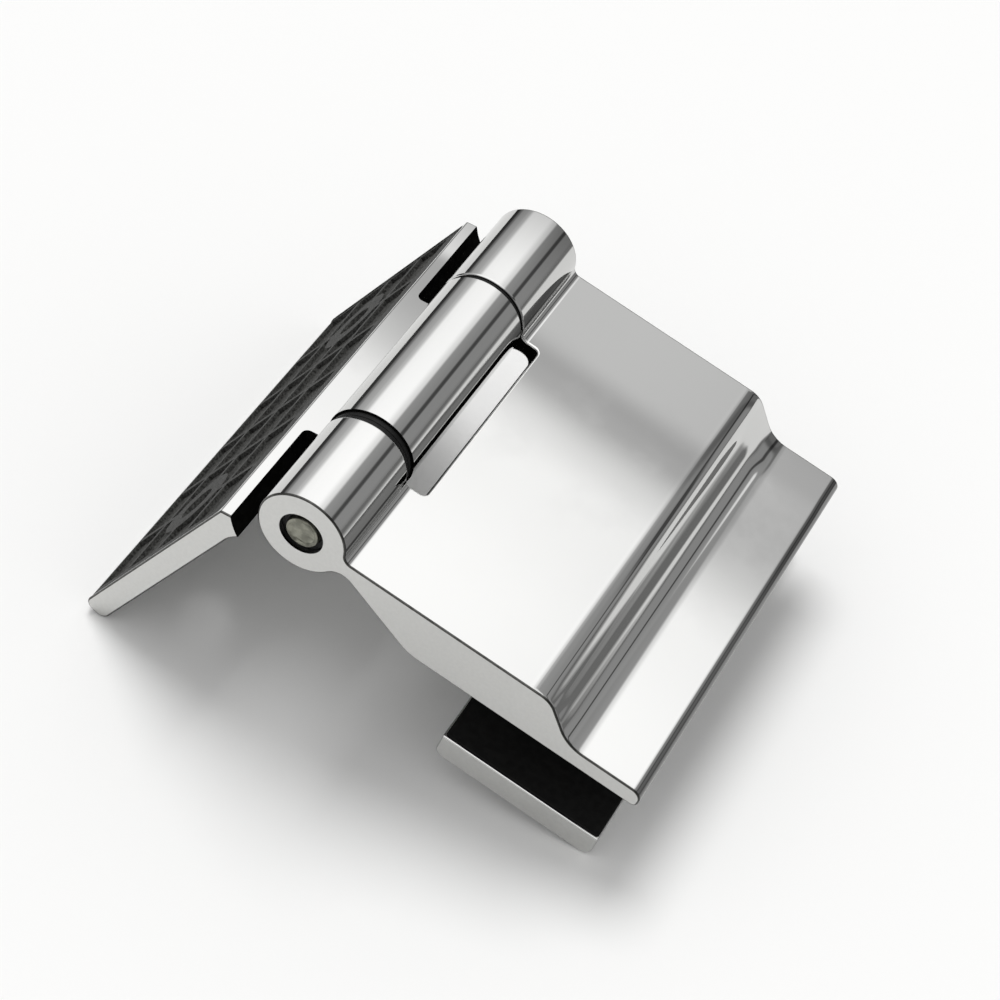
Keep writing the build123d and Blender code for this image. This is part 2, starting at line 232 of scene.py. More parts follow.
class PadSizes(bpy.types.PropertyGroup):
    """Sizes of the moulded pad on the fixed leaf."""

    rim: length("Metal rim", "Width of the metal rim round the pad", 0.4)
    thick: length("Thickness", "Thickness of the pad", 1.2)
    sunk: length("Set back", "Depth of the pad's face below the rim", 0.3)
    inner: length("Inner border", "Border next to the hinge axis", 5.45)
    outer: length("Outer border", "Border at the foot", 0.85)
    front: length("Front border", "Border at the front end", 3.15)
    rear: length("Rear border", "Border at the rear end", 0.45)
    rib: length("Rib width", "Width of the ribs between pockets", 1.3)
    rows: IntProperty(name="Rows", description="Pockets away from the axis", default=4)
    columns: IntProperty(name="Columns", description="Pockets along the axis", default=6)
    pocket: length("Pocket depth", "Depth of the pockets", 0.8)
    ring: length("Ring radius", "Radius of the flat ring round a hole", 7.25)
    hole: length("Hole radius", "Radius of the pad's holes", 3.5)


class ClampSizes(bpy.types.PropertyGroup):
    """Sizes of the clamp plate, its screws and the gaskets."""

    start: length("Clamp start", "Distance from the axis to the clamp plate", 35.6)
    wide: length("Width", "Width of the clamp plate", 30.6)
    thick: length("Thickness", "Thickness of the clamp plate", 5.3)
    gap: length("Gap", "Room between door leaf and clamp plate", 13)
    corner: length("Corner radius", "Rounding of the plate's lower edges", 1.8)
    rim: length("Rim", "Width of the rim round the gasket", 0.45)
    pocket: length("Pocket depth", "Depth of the gasket's pocket", 1.2)
    pocket_corner: length("Pocket corner", "Rounding of the pocket's corners", 0.6)
    proud: length("Gasket stands proud", "Height of the gasket over the rim", 0.3)
    upper_thick: length("Upper gasket", "Thickness of the gasket under the door leaf", 2)
    upper_seat: length("Upper seat", "Depth of its seat in the door leaf", 0.5)
    upper_inset: length("Upper inset", "Distance of the upper gasket from the edges", 1.4)
    upper_corner: length("Upper corner", "Rounding of the upper gasket's corners", 2)
    screw: length("Screw radius", "Radius of the clamp screws", 2.5)
    head: length("Head radius", "Radius of the countersunk heads", 5)
    screw_long: length("Screw length", "Length of the clamp screws", 22)
    key: length("Key size", "Size across the flats of the screw sockets", 3)
    key_deep: length("Key depth", "Depth of the screw sockets", 1.9)
    pitch: length("Thread pitch", "Rise of the thread in one turn", 0.8)
    from_axis: length("Screw distance", "Distance of the screws from the axis", 45)
    from_end: length("Screw end distance", "Distance of the screws from each end", 14)
    tapped: length("Tapped depth", "Depth of the screws' holes in the door leaf", 8)
    hole: length("Hole radius", "Radius of the clamp plate's holes", 2.75)
    sleeve: length("Sleeve radius", "Outer radius of the glass sleeves", 4)
    sleeve_long: length("Sleeve length", "Length of the glass sleeves", 9)


class HingeFinish(bpy.types.PropertyGroup):
    """Colours and polish."""

    chrome: tint("Chrome", "Colour of the polished plating", (0.585, 0.585, 0.578))
    polish: FloatProperty(
        name="Polish", description="Roughness of the polished faces", default=0.035, min=0, max=1
    )
    satin: tint("Satin ends", "Colour of the satin end faces", (0.64, 0.64, 0.625))
    satin_rough: FloatProperty(
        name="Satin", description="Roughness of the satin faces", default=0.42, min=0, max=1
    )
    # Painted shade: a dark colour on the leaves' broken edges stands in for the dark reflections along them.
    edge: tint("Painted edge shade", "Colour of the painted shade on the broken edges", (0.10, 0.10, 0.095))
    # Painted highlight: a brighter colour on the rounded rim of the slot stands in for the bright line it mirrors.
    rim: tint("Painted rim highlight", "Colour of the painted highlight on the slot's rim", (0.78, 0.78, 0.77))
    # Painted shade: a near-black colour on the walls of the slot and the notches stands in for the dark
    # reflections inside them.
    shade: tint("Painted wall shade", "Colour of the painted shade on the walls of the cut-outs", (0.005, 0.005, 0.0045))
    # Painted sheen and shade: the pad's ribs and rings get a lighter colour and its pockets a darker one.
    pad_ribs: tint("Pad ribs with painted sheen", "Colour of the pad's ribs and rings, lighter as painted sheen", (0.072, 0.072, 0.070))
    pad_pocket_shade: tint("Pad pockets with painted shade", "Colour of the pad's pockets, darker as painted shade", (0.020, 0.020, 0.019))
    gasket: tint("Gaskets", "Colour of the glass gaskets", (0.004, 0.004, 0.004))
    bush: tint("Bushes", "Colour of the bushes", (0.008, 0.008, 0.008))
    steel: tint("Pin steel", "Colour of the pin's sawn end", (0.30, 0.30, 0.25))
    screw: tint("Screw steel", "Colour of the screws", (0.42, 0.42, 0.42))
    sleeve: tint("Sleeves", "Colour of the glass sleeves", (0.68, 0.67, 0.62))
    floor: tint("Floor", "Colour of the floor", (0.90, 0.90, 0.895))


def settings(*names):
    """Property groups of the scene, by the last part of their names."""
    return [getattr(bpy.context.scene, "hinge_" + name) for name in names]


# Drawing sections and shaping solids


def spot(x, z):
    """Point of a section, which lies in the XZ plane."""
    return Vector((x, 0, z))


def heading(turn):
    """Unit vector in the XZ plane, counted from +X towards +Z."""
    return spot(math.cos(turn), math.sin(turn))


def turn_between(centre, start, end, long_way=False):
    """Angle about +Y from one point to another, seen from a centre."""
    a, b = start - centre, end - centre
    turn = math.atan2(a.cross(b).y, a.dot(b))
    if long_way:
        turn -= math.copysign(2 * math.pi, turn)
    return turn


def run_to(mesh, vert, point):
    """Straight edge of an outline, from a vertex to a new one."""
    end = mesh.verts.new(point)
    mesh.edges.new((vert, end))
    return end


def swing_to(mesh, vert, centre, end, long_way=False):
    """Arc of an outline, from a vertex to a point, turned about a centre."""
    turn = turn_between(centre, vert.co, end, long_way)
    steps = max(3, round(abs(turn) / ARC_STEP))
    made = bmesh.ops.spin(
        mesh, geom=[vert], cent=centre, axis=(0, 1, 0), angle=turn, steps=steps
    )
    return next(v for v in made["geom_last"] if isinstance(v, bmesh.types.BMVert))


def rounded_run(mesh, vert, corners, end):
    """Outline from a vertex to an end point, past corners given with their radii."""
    path = [corner for corner, _ in corners] + [end]
    for (corner, radius), after in zip(corners, path[1:]):
        back = (vert.co - corner).normalized()
        onward = (after - corner).normalized()
        half = back.angle(onward) / 2
        start = corner + back * radius / math.tan(half)
        stop = corner + onward * radius / math.tan(half)
        centre = corner + (back + onward).normalized() * radius / math.sin(half)
        vert = swing_to(mesh, run_to(mesh, vert, start), centre, stop)
    return run_to(mesh, vert, end)


def blend_to_knuckle(knuckle, line_point, turn, side, radius):
    """Concave arc from the knuckle to a straight line: centre and both touch points.

    turn is the line's heading. The arc lies to its left for side 1, to its right for -1.
    """
    along, outwards = heading(turn), heading(turn + side * math.pi / 2)
    offset = line_point + outwards * radius
    reach = knuckle + radius
    shift = offset.dot(along)
    step = math.sqrt(reach**2 - offset.length_squared + shift**2) - shift
    centre = offset + along * step
    return centre, centre * (knuckle / reach), centre - outwards * radius


def draw_out(mesh, start_y, end_y):
    """Closes a section's outline and draws it out along Y."""
    bmesh.ops.remove_doubles(mesh, verts=mesh.verts[:], dist=MERGE)
    bmesh.ops.contextual_create(mesh, geom=mesh.edges[:])
    bmesh.ops.translate(mesh, verts=mesh.verts[:], vec=(0, start_y, 0))
    made = bmesh.ops.extrude_face_region(mesh, geom=mesh.faces[:])
    moved = [v for v in made["geom"] if isinstance(v, bmesh.types.BMVert)]
    bmesh.ops.translate(mesh, verts=moved, vec=(0, end_y - start_y, 0))
    bmesh.ops.recalc_face_normals(mesh, faces=mesh.faces[:])


def soften(mesh, edges, width, segments):
    """Rounds edges over and returns the new faces."""
    if not edges:
        return []
    made = bmesh.ops.bevel(
        mesh, geom=edges, offset=width, offset_type="OFFSET", segments=segments,
        profile=0.5, affect="EDGES", material=-1, clamp_overlap=True,
    )
    return made["faces"]


def hard_edges(mesh, where):
    """Edges that turn sharply and lie where a test on their two ends says."""
    return [
        edge
        for edge in mesh.edges
        if len(edge.link_faces) == 2
        and edge.calc_face_angle(0) > HARD_ANGLE
        and all(where(v.co) for v in edge.verts)
    ]


def round_over(mesh, width, segments=2, where=lambda co: True):
    """Rounds a shape's hard edges over and returns the new faces."""
    return soften(mesh, hard_edges(mesh, where), width, segments)


def break_ends(mesh, half, width):
    """Rounds the edges of a section's two end faces over."""
    round_over(mesh, width, 3, lambda co: abs(co.y) > half - NEAR)


def soften_rim(mesh, where, width, segments):
    """Rounds closed rims over, after their shortest edges are merged. Returns the faces."""
    ends = {v for edge in hard_edges(mesh, where) for v in edge.verts}
    bmesh.ops.remove_doubles(mesh, verts=list(ends), dist=7e-5)
    return set(round_over(mesh, width, segments, where))


def turned(profile, steps=96):
    """Closed shape turned about Y from a closed profile of (radius, y) points."""
    mesh = bmesh.new()
    verts = [mesh.verts.new((radius, y, 0)) for radius, y in profile]
    ring = [mesh.edges.new((a, b)) for a, b in zip(verts, verts[1:] + verts[:1])]
    bmesh.ops.spin(
        mesh, geom=verts + ring, cent=(0, 0, 0), axis=(0, 1, 0), angle=2 * math.pi,
        steps=steps, use_merge=True,
    )
    bmesh.ops.remove_doubles(mesh, verts=mesh.verts[:], dist=MERGE)
    bmesh.ops.recalc_face_normals(mesh, faces=mesh.faces[:])
    return mesh


def bar(radius, start_y, end_y, steps=96):
    """Round bar on the hinge axis."""
    mesh = bmesh.new()
    bmesh.ops.create_cone(
        mesh, cap_ends=True, segments=steps, radius1=radius, radius2=radius,
        depth=end_y - start_y, matrix=Matrix.Rotation(math.pi / 2, 4, "X"),
    )
    bmesh.ops.translate(mesh, verts=mesh.verts[:], vec=(0, (start_y + end_y) / 2, 0))
    return mesh


def stand_up(mesh, place):
    """Turns a shape from the Y axis to the Z axis and moves it to its place."""
    turn = Matrix.Rotation(math.pi / 2, 4, "X")
    bmesh.ops.transform(mesh, matrix=Matrix.Translation(place) @ turn, verts=mesh.verts[:])


def post(radius, low_z, high_z, x, y, top_radius=None, steps=64):
    """Round bar that stands along Z, or a cone where it has another radius at the top."""
    mesh = bmesh.new()
    bmesh.ops.create_cone(
        mesh, cap_ends=True, segments=steps, radius1=radius, radius2=top_radius or radius,
        depth=high_z - low_z, matrix=Matrix.Translation((x, y, (low_z + high_z) / 2)),
    )
    return mesh


def slab(low, high, corner):
    """Flat block whose upright edges are rounded."""
    mesh = bmesh.new()
    low, high = Vector(low), Vector(high)
    size = Matrix.Diagonal((*(high - low), 1))
    bmesh.ops.create_cube(mesh, size=1, matrix=Matrix.Translation((low + high) / 2) @ size)
    if corner:
        upright = [e for e in mesh.edges if abs((e.verts[0].co - e.verts[1].co).z) > NEAR]
        soften(mesh, upright, corner, 8)
    return mesh


def combine(mesh, tools, operation="DIFFERENCE"):
    """Cuts a shape with others, or joins them to it, and returns the new shape."""
    body = bpy.data.objects.new("shape", bpy.data.meshes.new("shape"))
    mesh.to_mesh(body.data)
    mesh.free()
    bpy.context.scene.collection.objects.link(body)
    helpers = []
    for tool in tools:
        helper = bpy.data.objects.new("tool", bpy.data.meshes.new("tool"))
        bmesh.ops.recalc_face_normals(tool, faces=tool.faces[:])
        tool.to_mesh(helper.data)
        tool.free()
        bpy.context.scene.collection.objects.link(helper)
        change = body.modifiers.new("change", "BOOLEAN")
        change.operation = operation
        change.solver = "EXACT"
        change.object = helper
        helpers.append(helper)
    evaluated = body.evaluated_get(bpy.context.evaluated_depsgraph_get())
    made = bmesh.new()
    made.from_mesh(evaluated.to_mesh())
    evaluated.to_mesh_clear()
    for item in [body, *helpers]:
        data = item.data
        bpy.data.objects.remove(item)
        bpy.data.meshes.remove(data)
    bmesh.ops.remove_doubles(made, verts=made.verts[:], dist=2e-6)
    bmesh.ops.dissolve_degenerate(made, dist=1e-6, edges=made.edges[:])
    return made


def place_piece(mesh, node, ending, body, finishes, paint=None):
    """Makes the finished piece of a node from a shape in a leaf's own frame."""
    name = f"{node}_{ending}"
    place = FIXED_PLACE if body == "fixed" else DOOR_PLACE
    if paint:
        for face in mesh.faces:
            face.material_index = paint(face)
    bmesh.ops.transform(mesh, matrix=place, verts=mesh.verts[:])
    data = bpy.data.meshes.new(name)
    mesh.to_mesh(data)
    mesh.free()
    for face in data.polygons:
        face.use_smooth = True
    data.set_sharp_from_angle(angle=SHARP_ANGLE)
    piece = bpy.data.objects.new(name, data)
    bpy.context.scene.collection.objects.link(piece)
    for finish in finishes:
        data.materials.append(finish)
    even = piece.modifiers.new("Even shading", "WEIGHTED_NORMAL")
    even.mode = "FACE_AREA"
    even.weight = 80
    even.keep_sharp = True
    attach(piece, body)
    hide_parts(node)


# Node groups and materials


def feed(tree, node, key, value):
    """Links a socket to a node's input, or sets the input to a value."""
    if isinstance(value, bpy.types.NodeSocket):
        tree.links.new(value, node.inputs[key])
    else:
        node.inputs[key].default_value = value


def add_node(tree, kind, **values):
    """New node of a tree, with its settings, and its inputs set or linked by name."""
    node = tree.nodes.new(kind)
    for key, value in values.items():
        if hasattr(node, key):
            setattr(node, key, value)
        else:
            feed(tree, node, key, value)
    return node


def calculate(tree, operation, *values, kind="ShaderNodeMath"):
    """First result of a math node on sockets and values."""
    node = add_node(tree, kind, operation=operation)
    for number, value in enumerate(values):
        feed(tree, node, number, value)
    return node.outputs[0]


def vector_math(tree, operation, *values):
    """First result of a vector math node on sockets and values."""
    return calculate(tree, operation, *values, kind="ShaderNodeVectorMath")


def product(tree, *factors):
    """Product of sockets and numbers."""
    result = factors[0]
    for factor in factors[1:]:
        result = calculate(tree, "MULTIPLY", result, factor)
    return result


def add(tree, first, second):
    """Sum of two sockets, or of a socket and a number."""
    return calculate(tree, "ADD", first, second)


def rest_of(tree, share):
    """What is left of 1 after a share of it."""
    return calculate(tree, "SUBTRACT", 1.0, share)


def in_range(tree, source, start, stop, low=0.0, high=1.0, shape="SMOOTHSTEP"):
    """Change from low to high while a value goes from start to stop."""
    node = add_node(tree, "ShaderNodeMapRange", interpolation_type=shape, Value=source)
    for key, value in (("From Min", start), ("From Max", stop), ("To Min", low), ("To Max", high)):
        feed(tree, node, key, value)
    return node.outputs["Result"]


def ramp_of(tree, source, stops, interpolation="EASE"):
    """Grey levels along a value, from pairs of place and level."""
    node = add_node(tree, "ShaderNodeValToRGB", Fac=source)
    ramp = node.color_ramp
    ramp.interpolation = interpolation
    ramp.elements.remove(ramp.elements[-1])
    for number, (place, value) in enumerate(stops):
        element = ramp.elements.new(place) if number else ramp.elements[0]
        element.position = place
        element.color = (value, value, value, 1)
    return node.outputs["Color"]


def mixed(tree, share, first, second, blend_type="MIX"):
    """Colour mix of two sockets or colours."""
    node = add_node(tree, "ShaderNodeMix", data_type="RGBA", blend_type=blend_type)
    for key, value in (("Factor", share), ("A", first), ("B", second)):
        feed(tree, node, key, value)
    return node.outputs["Result"]


def split_place(tree, place):
    """The three coordinates of a place."""
    return add_node(tree, "ShaderNodeSeparateXYZ", Vector=place).outputs


def shared_group(name, inputs, outputs, build):
    """Shader node group, built once. build gives the output sockets from the input ones."""
    if name in bpy.data.node_groups:
        return bpy.data.node_groups[name]
    tree = bpy.data.node_groups.new(name, "ShaderNodeTree")
    for labels, way in ((inputs, "INPUT"), (outputs, "OUTPUT")):
        for label in labels:
            kind = "Vector" if label in ("Place", "Normal") else "Float"
            tree.interface.new_socket(name=label, in_out=way, socket_type="NodeSocket" + kind)
    made = build(tree, tree.nodes.new("NodeGroupInput").outputs)
    add_node(tree, "NodeGroupOutput", **dict(zip(outputs, made)))
    return tree


def place_group(tree, group, **values):
    """Outputs of a node that holds a node group, with the group's inputs fed by name."""
    node = tree.nodes.new("ShaderNodeGroup")
    node.node_tree = group
    for key, value in values.items():
        feed(tree, node, key.replace("_", " "), value)
    return node.outputs


def polish_nodes(tree, given):
    """Faint unevenness of a hand-polished surface: roughness and a soft height."""
    place = given["Place"]
    cloud = add_node(
        tree, "ShaderNodeTexNoise", Vector=place, Scale=90.0, Detail=4.0, Roughness=0.6
    )
    wave = add_node(tree, "ShaderNodeTexNoise", Vector=place, Scale=28.0, Detail=1.0)
    roughness = in_range(tree, cloud.outputs["Fac"], 0.42, 0.68, given["Low"], given["High"])
    return roughness, wave.outputs["Fac"]


def grain_nodes(tree, given):
    """Fine grain: a colour mask and a height, finer or coarser by its scale."""
    place, scale = given["Place"], given["Scale"]
    fine = add_node(
        tree, "ShaderNodeTexNoise", Vector=place, Scale=scale, Detail=5.0, Roughness=0.65
    )
    broad = add_node(
        tree, "ShaderNodeTexNoise", Vector=place, Scale=product(tree, scale, 0.42), Detail=3.0
    )
    return in_range(tree, broad.outputs["Fac"], 0.35, 0.65), fine.outputs["Fac"]


def leaning_nodes(tree, given, x, y, step_area):
    """How far the normal leans along Y: more to the rear, and forward on the step."""
    lip = in_range(tree, x, 0.050, 0.0545)
    body_gain = product(tree, in_range(tree, y, 0.006, 0.040), 0.050)
    lip_gain = add(tree, product(tree, in_range(tree, y, 0.012, 0.044), -0.017), 0.0073)
    change = product(tree, calculate(tree, "SUBTRACT", lip_gain, body_gain), lip)
    gain = product(tree, add(tree, body_gain, change), given["Step"])
    back = product(tree, in_range(tree, y, 0.028, 0.034), given["Lean Back"])
    rearwards = in_range(tree, y, -0.045, 0.010)
    base = product(tree, rest_of(tree, back), given["Lean"], rearwards)
    past = calculate(tree, "GREATER_THAN", x, given["Lean Start"])
    leaning = product(tree, add(tree, base, gain), past, rest_of(tree, step_area))
    forward = product(tree, in_range(tree, y, 0.0, 0.030), -0.02, step_area)
    rear = in_range(tree, y, *LEAF_END)
    front = in_range(tree, product(tree, y, -1.0), *LEAF_END)
    ends = product(tree, calculate(tree, "SUBTRACT", rear, front), step_area, 0.1)
    return add(tree, add(tree, leaning, forward), ends)


def swell_nodes(tree, given, x, y):
    """How far the normal turns about Y on the wavy step, but not at the step's ends."""
    drifted = add(tree, x, product(tree, y, STEP_DRIFT))
    across_step = in_range(tree, drifted, STEP_START, STEP_END, shape="LINEAR")
    span = STEP_END - STEP_START
    swell = ramp_of(
        tree, across_step,
        [((place / 1000 - STEP_START) / span, 0.5 + turn / 60) for place, turn in STEP_SWELL],
        "CARDINAL",
    )
    inside = in_range(tree, calculate(tree, "ABSOLUTE", y), 0.0409, 0.0402)
    tip = product(tree, in_range(tree, y, 0.030, 0.035), in_range(tree, x, 0.048, 0.0488))
    level = calculate(tree, "SUBTRACT", swell, 0.5)
    return product(tree, level, inside, SWELL_GAIN, rest_of(tree, tip), given["Step"])


def form_nodes(tree, given):
    """Normal of hand-polished plating: a lean to the rear, a wavy step and drawn lines."""
    place, normal = given["Place"], given["Normal"]
    x, y, _ = split_place(tree, place)
    step_area = product(
        tree, in_range(tree, x, 0.0445, 0.0475), in_range(tree, x, 0.0556, 0.0546), given["Step"]
    )
    lean = add_node(
        tree, "ShaderNodeCombineXYZ", Y=leaning_nodes(tree, given, x, y, step_area)
    )
    stretch = add_node(tree, "ShaderNodeMapping", Vector=place, Scale=(500.0, 5.0, 500.0))
    drawn = add_node(
        tree, "ShaderNodeTexNoise", Vector=stretch.outputs["Vector"], Scale=1.0, Detail=1.0
    )
    level = calculate(tree, "SUBTRACT", drawn.outputs["Fac"], 0.5)
    turning = add(tree, swell_nodes(tree, given, x, y), product(tree, level, step_area, 0.2))
    across = vector_math(tree, "CROSS_PRODUCT", (0.0, 1.0, 0.0), normal)
    sway = add_node(tree, "ShaderNodeVectorMath", operation="SCALE", Scale=turning)
    tree.links.new(across, sway.inputs[0])
    total = vector_math(tree, "ADD", normal, lean.outputs["Vector"])
    total = vector_math(tree, "ADD", total, sway.outputs["Vector"])
    return [vector_math(tree, "NORMALIZE", total)]


def lip_edge_shade_nodes(tree, given):
    """Painted shade: darker tone of the plating on the rounding along the lip's outer edge."""
    x, _, z = split_place(tree, given["Place"])
    height = in_range(tree, z, -0.009, -0.007, shape="LINEAR")
    shaded_tone = ramp_of(tree, height, LIP_SHADE_TONES)
    missing = product(tree, rest_of(tree, shaded_tone), in_range(tree, x, 0.0655, 0.0660))
    return [rest_of(tree, missing)]


def leaf_coordinates(tree, place):
    """Object coordinates turned into a leaf's own frame."""
    coords = add_node(tree, "ShaderNodeTexCoord")
    inverse = place.inverted()
    mapping = add_node(
        tree, "ShaderNodeMapping", Vector=coords.outputs["Object"],
        Location=inverse.to_translation(), Rotation=inverse.to_euler(),
    )
    return mapping.outputs["Vector"]


def start_material(name, color, metallic, roughness):
    """New material with its Principled BSDF set."""
    material = bpy.data.materials.new(name)
    material.use_nodes = True
    tree = material.node_tree
    shader = tree.nodes["Principled BSDF"]
    feed(tree, shader, "Base Color", (*color, 1))
    feed(tree, shader, "Metallic", metallic)
    feed(tree, shader, "Roughness", roughness)
    return material, tree, shader


def chrome_finish(name, place, lean=0.0, lean_start=0.0, lean_back=0.0, step=False):
    """Mirror-polished plating with faint unevenness, and on the step painted shade along the lip's outer edge."""
    if name in bpy.data.materials:
        return bpy.data.materials[name]
    look = bpy.context.scene.hinge_finish
    material, tree, shader = start_material(name, look.chrome, 1.0, look.polish)
    spot_in_leaf = leaf_coordinates(tree, place)
    polish = place_group(
        tree,
        shared_group(
            "Polish Variation", ("Place", "Low", "High"), ("Roughness", "Height"), polish_nodes
        ),
        Place=spot_in_leaf, Low=look.polish, High=look.polish * 2.2,
    )
    form = place_group(
        tree,
        shared_group(
            "Polished Form", ("Place", "Normal", "Lean Start", "Lean", "Lean Back", "Step"),
            ("Normal",), form_nodes,
        ),
        Place=spot_in_leaf, Normal=add_node(tree, "ShaderNodeNewGeometry").outputs["Normal"],
        Lean_Start=lean_start, Lean=lean, Lean_Back=lean_back, Step=float(step),
    )
    bump = add_node(
        tree, "ShaderNodeBump", Strength=0.04, Distance=0.0004, Height=polish["Height"],
        Normal=form["Normal"],
    )
    feed(tree, shader, "Roughness", polish["Roughness"])
    feed(tree, shader, "Normal", bump.outputs["Normal"])
    # Painted shade on the rounding of the lip's outer edge.
    if step:
        edge = place_group(
            tree, shared_group("Lip Edge Painted Shade", ("Place",), ("Shade Tone",), lip_edge_shade_nodes),
            Place=spot_in_leaf,
        )
        shaded_tone = mixed(tree, 1.0, (*look.chrome, 1), edge["Shade Tone"], "MULTIPLY")
        feed(tree, shader, "Base Color", shaded_tone)
    return material


def grained_finish(name, color, dark, metallic, roughness, scale, strength, shine=None):
    """Surface with a fine grain and a cloudy change of colour."""
    if name in bpy.data.materials:
        return bpy.data.materials[name]
    material, tree, shader = start_material(name, color, metallic, roughness)
    coords = add_node(tree, "ShaderNodeTexCoord")
    grain = place_group(
        tree, shared_group("Fine Grain", ("Place", "Scale"), ("Mask", "Height"), grain_nodes),
        Place=coords.outputs["Object"], Scale=scale,
    )
    other = [c * dark for c in color]
    bump = add_node(
        tree, "ShaderNodeBump", Strength=strength, Distance=0.0001, Height=grain["Height"]
    )
    feed(tree, shader, "Base Color", mixed(tree, grain["Mask"], (*color, 1), (*other, 1)))
    feed(tree, shader, "Normal", bump.outputs["Normal"])
    if shine is not None:
        feed(tree, shader, "Specular IOR Level", shine)
    return material


def rubber_finish(name, color, dark, roughness, scale, strength, shine=0.2):
    """Matte surface with moulding grain."""
    return grained_finish(name, color, dark, 0.0, roughness, scale, strength, shine)


def screw_steel():
    """Finish of the clamp screws and the grub screw."""
    look = bpy.context.scene.hinge_finish
    return grained_finish("Screw Steel", look.screw, 0.85, 1.0, 0.3, 2200.0, 0.3)


def metal_finishes(chrome):
    """Finishes of a plated piece: polished, satin ends, broken edges with painted shade, walls with painted shade
    and rims with a painted highlight.
    """
    look = bpy.context.scene.hinge_finish
    satin = grained_finish("Satin Ends", look.satin, 0.97, 1.0, look.satin_rough, 3600.0, 0.04)
    # The broken edges and the walls get painted shade, the rims a painted highlight.
    edge = grained_finish("Broken Edges", look.edge, 0.7, 1.0, 0.3, 2600.0, 0.1)
    wall = rubber_finish("Cast Walls", look.shade, 0.6, 0.6, 1800.0, 0.2, 0.0)
    rim = grained_finish("Buffed Rims", look.rim, 0.94, 1.0, 0.34, 2600.0, 0.06)
    return [chrome, satin, edge, wall, rim]


# Pieces of the hinge


def door_section(mesh, sizes, leaf):
    """Outline of the door leaf: knuckle, neck, body, ogee step and lip."""
    fixing = -sizes.drop
    lip_top = fixing + leaf.lip
    step_run = -lip_top / math.tan(leaf.step_angle)
    upper, upper_knuckle, upper_leaf = blend_to_knuckle(
        sizes.knuckle, spot(0, 0), 0, 1, leaf.neck_top
    )
    foot = spot(leaf.under_foot, fixing)
    lower, lower_knuckle, lower_leaf = blend_to_knuckle(
        sizes.knuckle, foot, -leaf.under_slope, -1, leaf.neck_under
    )
    first = mesh.verts.new(lower_leaf)
    corners = [
        (foot, leaf.under_foot_r),
        (spot(leaf.reach, fixing), leaf.lip_bottom),
        (spot(leaf.reach, lip_top), leaf.lip_top),
        (spot(leaf.step + step_run, lip_top), leaf.hollow),
        (spot(leaf.step, 0), leaf.shoulder),
    ]
    vert = rounded_run(mesh, first, corners, upper_leaf)
    vert = swing_to(mesh, vert, upper, upper_knuckle)
    vert = swing_to(mesh, vert, Vector(), lower_knuckle, long_way=True)
    swing_to(mesh, vert, lower, lower_leaf)


def slot_limits(sizes):
    """Ends of the room for the middle knuckle, and the middle knuckle's own ends, along Y."""
    half = (sizes.middle + sizes.front_gap + sizes.rear_gap) / 2
    return half, sizes.front_gap - half, half - sizes.rear_gap


def clearance(radius, start_y, end_y, corner, ends):
    """Round cutter on the axis, rounded at the named ends."""
    mesh = bar(radius, start_y, end_y, 48)
    rims = [
        e for e in mesh.edges
        if any(all(abs(v.co.y - y) < NEAR for v in e.verts) for y in ends)
    ]
    soften(mesh, rims, corner, 6)
    return mesh


def plated(half, soft_edge, edge_finish, wall_radius=None, wall_shade_reach=None, rims=()):
    """Finish index by face: satin ends, their broken edges, rims with a painted highlight, and walls round the
    axis with painted shade.
    """

    def paint(face):
        middle = face.calc_center_median()
        beyond = abs(middle.y) - half
        if abs(face.normal.y) > 0.98 and beyond > -CLOSE:
            return 1
        if beyond > -soft_edge - NEAR:
            return edge_finish
        radius = math.hypot(middle.x, middle.z)
        # Painted highlight on the rounded rim next to a cut-out.
        if face in rims:
            return 4 if radius > wall_radius - RIM_HIGHLIGHT_BAND else 0
        sideways = abs(face.normal.x * middle.z - face.normal.z * middle.x) / radius
        # Painted shade on the walls of the cut-outs and on the flat ends beside them.
        if wall_radius and radius < wall_radius + 1e-4 and sideways < WALL_SHADE_SLANT:
            end_wall = abs(face.normal.y) > 0.99
            if (end_wall or radius > wall_radius - WALL_SHADE_BAND) and wall_shade_reach(middle):
                return 3
        return 0

    return paint


def screw_places(sizes, clamp):
    """Places of the two clamp screws along Y, front first."""
    reach = sizes.along / 2 - clamp.from_end
    return [-reach, reach]


class HINGE_OT_door_leaf(bpy.types.Operator):
    """Build the door leaf with its two outer knuckles, its slot and its ogee step"""

    bl_idname = "hinge.door_leaf"
    bl_label = "Door Leaf"

    def execute(self, context):
        sizes, leaf, clamp = settings("sizes", "door_leaf", "clamp")
        half = sizes.along / 2
        mesh = bmesh.new()
        door_section(mesh, sizes, leaf)
        draw_out(mesh, -half, half)
        break_ends(mesh, half, sizes.soft_edge)
        slot_end, _, _ = slot_limits(sizes)
        ends = (-slot_end, slot_end)
        inset = clamp.start + clamp.upper_inset
        outset = clamp.start + clamp.wide - clamp.upper_inset
        long = half - clamp.upper_inset
        fixing = -sizes.drop
        mesh = combine(mesh, [
            clearance(leaf.slot, *ends, leaf.slot_corner, ends),
            bar(sizes.bush + CLOSE, -half - PAST, half + PAST),
            slab((inset, -long, fixing - PAST), (outset, long, fixing + clamp.upper_seat),
                 clamp.upper_corner),
            *(post(clamp.screw + LOOSE, fixing - PAST, fixing + clamp.tapped, clamp.from_axis, y)
              for y in screw_places(sizes, clamp)),
        ])
        rims = soften_rim(
            mesh,
            lambda co: abs(co.y) < slot_end + CLOSE
            and sizes.bush + 1e-4 < math.hypot(co.x, co.z) < leaf.slot + CLOSE,
            leaf.slot_rim, 5,
        )
        place_piece(
            mesh, "door_leaf", "polished", "door",
            metal_finishes(
                chrome_finish("Chrome Door Leaf", DOOR_PLACE, 0.026, 0.0095, step=True)
            ),
            plated(half, sizes.soft_edge, 2, leaf.slot,
                   lambda co: abs(co.y) < slot_end + CLOSE, rims),
        )
        return {"FINISHED"}


